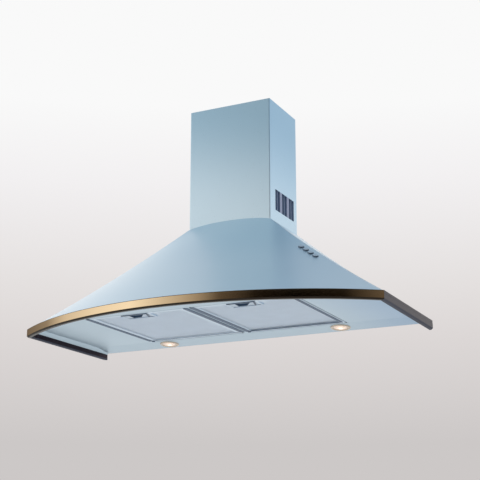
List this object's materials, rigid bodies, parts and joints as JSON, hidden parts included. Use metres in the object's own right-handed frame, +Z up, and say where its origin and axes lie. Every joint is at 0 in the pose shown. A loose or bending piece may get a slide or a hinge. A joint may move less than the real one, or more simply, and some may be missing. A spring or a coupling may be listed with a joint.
{
  "type": "curved wall chimney range hood",
  "caption": "Wall chimney range hood: flared canopy with curved front trim, hinged grease filters, lamps, push buttons and an inner centrifugal blower.",
  "frame": {"origin": "middle of the four wall bolts, on the wall plane", "axes": "+X to the right seen from the front, +Y into the wall, +Z up"},
  "size_m": [0.9, 0.492, 0.582],
  "materials": {
    "hood_steel": "satin pale blue",
    "panel_steel": "satin",
    "trim_metal": "glossy bronze",
    "rail_metal": "satin dark grey",
    "zinc_plate": "galvanised",
    "scroll_steel": "galvanised",
    "wheel_plastic": "matte black",
    "shaft_steel": "ground",
    "motor_iron": "enamelled",
    "duct_plastic": "matte black",
    "box_plastic": "moulded",
    "capacitor_plastic": "moulded",
    "filter_aluminium": "satin",
    "mesh_aluminium": "expanded mesh",
    "latch_plastic": "moulded",
    "lamp_chrome": "polished",
    "lamp_glass": "frosted",
    "reflector_aluminium": "polished",
    "bulb_glass": "clear",
    "button_plastic": "silver"
  },
  "bodies": {
    "hood": {"front_trim": "trim_metal", "left_side_rail": "rail_metal", "right_side_rail": "rail_metal", "canopy_shell": "hood_steel", "back_plate": "zinc_plate", "underside_panel": "panel_steel", "chimney_cover": "hood_steel", "chimney_bracket": "zinc_plate", "left_vent_grille": "duct_plastic", "right_vent_grille": "duct_plastic", "duct_plate": "zinc_plate", "chimney_collar": "zinc_plate", "scroll_housing": "scroll_steel", "scroll_cheek": "scroll_steel", "blower_motor": "motor_iron", "motor_bracket": "zinc_plate", "outlet_spigot": "duct_plastic", "damper_pins": "shaft_steel", "terminal_box": "box_plastic", "terminal_box_lid": "box_plastic", "lamp_transformer": "box_plastic", "motor_capacitor": "capacitor_plastic", "cable_gland": "duct_plastic", "switch_block": "box_plastic", "left_hinge_bracket": "zinc_plate", "centre_hinge_bracket": "zinc_plate", "right_hinge_bracket": "zinc_plate", "left_lamp_ring": "lamp_chrome", "left_lamp_lens": "lamp_glass", "left_lamp_cup": "reflector_aluminium", "left_lamp_bulb": "bulb_glass", "right_lamp_ring": "lamp_chrome", "right_lamp_lens": "lamp_glass", "right_lamp_cup": "reflector_aluminium", "right_lamp_bulb": "bulb_glass"},
    "left_filter": {"left_filter_frame": "filter_aluminium", "left_filter_mesh": "mesh_aluminium"},
    "right_filter": {"right_filter_frame": "filter_aluminium", "right_filter_mesh": "mesh_aluminium"},
    "left_latch": {"left_filter_latch": "latch_plastic"},
    "right_latch": {"right_filter_latch": "latch_plastic"},
    "blower_wheel": {"blower_wheel": "wheel_plastic", "motor_shaft": "shaft_steel"},
    "rear_flap": {"rear_damper_flap": "duct_plastic"},
    "front_flap": {"front_damper_flap": "duct_plastic"},
    "button_1": {"push_button_1": "button_plastic"},
    "button_2": {"push_button_2": "button_plastic"},
    "button_3": {"push_button_3": "button_plastic"},
    "button_4": {"push_button_4": "button_plastic"}
  },
  "joints": [
    {"name": "left_filter_hinge", "type": "hinge", "parent": "hood", "child": "left_filter", "pos_m": [-0.1345, -0.0705, -0.093], "axis": [1, 0, 0], "range_deg": [0, 75]},
    {"name": "left_latch_slide", "type": "slide", "parent": "left_filter", "child": "left_latch", "axis": [0, 1, 0], "range_m": [0, 0.005], "stiffness_N_per_m": 300},
    {"name": "right_filter_hinge", "type": "hinge", "parent": "hood", "child": "right_filter", "pos_m": [0.1345, -0.0705, -0.093], "axis": [1, 0, 0], "range_deg": [0, 75]},
    {"name": "right_latch_slide", "type": "slide", "parent": "right_filter", "child": "right_latch", "axis": [0, 1, 0], "range_m": [0, 0.005], "stiffness_N_per_m": 300},
    {"name": "button_1_press", "type": "slide", "parent": "hood", "child": "button_1", "axis": [-0.2987, 0.5331, -0.7916], "range_m": [0, 0.0025], "stiffness_N_per_m": 400},
    {"name": "button_2_press", "type": "slide", "parent": "hood", "child": "button_2", "axis": [-0.2987, 0.5331, -0.7916], "range_m": [0, 0.0025], "stiffness_N_per_m": 400},
    {"name": "button_3_press", "type": "slide", "parent": "hood", "child": "button_3", "axis": [-0.2987, 0.5331, -0.7916], "range_m": [0, 0.0025], "stiffness_N_per_m": 400},
    {"name": "button_4_press", "type": "slide", "parent": "hood", "child": "button_4", "axis": [-0.2987, 0.5331, -0.7916], "range_m": [0, 0.0025], "stiffness_N_per_m": 400},
    {"name": "blower_spin", "type": "hinge", "parent": "hood", "child": "blower_wheel", "pos_m": [0, -0.12, 0.03], "axis": [1, 0, 0], "continuous": true},
    {"name": "rear_flap_swing", "type": "hinge", "parent": "hood", "child": "rear_flap", "pos_m": [0, -0.0755, 0.1592], "axis": [1, 0, 0], "range_deg": [0, 80]},
    {"name": "front_flap_swing", "type": "hinge", "parent": "hood", "child": "front_flap", "pos_m": [0, -0.0825, 0.1592], "axis": [-1, 0, 0], "range_deg": [0, 80]}
  ]
}
